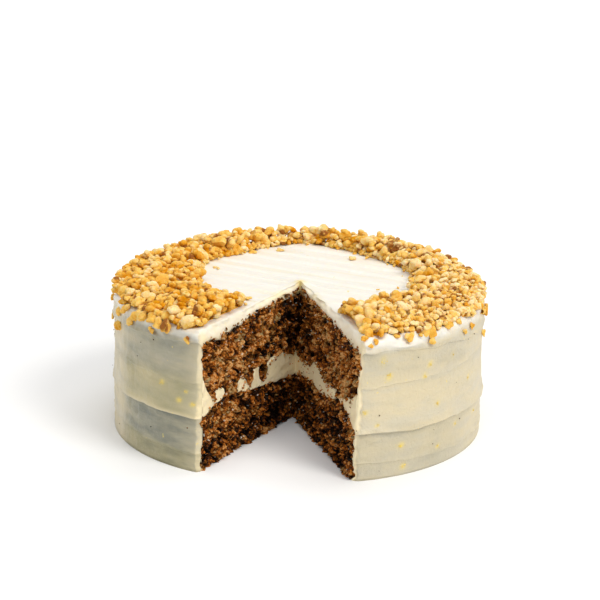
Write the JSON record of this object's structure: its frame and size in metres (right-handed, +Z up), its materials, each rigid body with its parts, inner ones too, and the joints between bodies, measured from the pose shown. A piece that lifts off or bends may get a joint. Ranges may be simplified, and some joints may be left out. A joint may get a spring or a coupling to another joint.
{
  "type": "carrot cake",
  "caption": "Round two-layer carrot cake with cream filling and coat, a ring of chopped walnuts round the top, and a slice taken out.",
  "frame": {"origin": "middle of the footprint, on the surface that the cake stands on", "axes": "+Z up; the missing slice opens towards -Y; +X to the right when looking into the slice"},
  "size_m": [0.2017, 0.194, 0.0858],
  "materials": {
    "sponge": "matt moist brown crumb with orange flecks",
    "cream": "soft satin off-white cream",
    "walnut": "dry golden-tan chopped nut"
  },
  "bodies": {
    "root": {"sponge_bottom": "sponge", "cream_filling": "cream", "sponge_top": "sponge", "cream_coat": "cream", "walnut_ring": "walnut"}
  },
  "joints": []
}
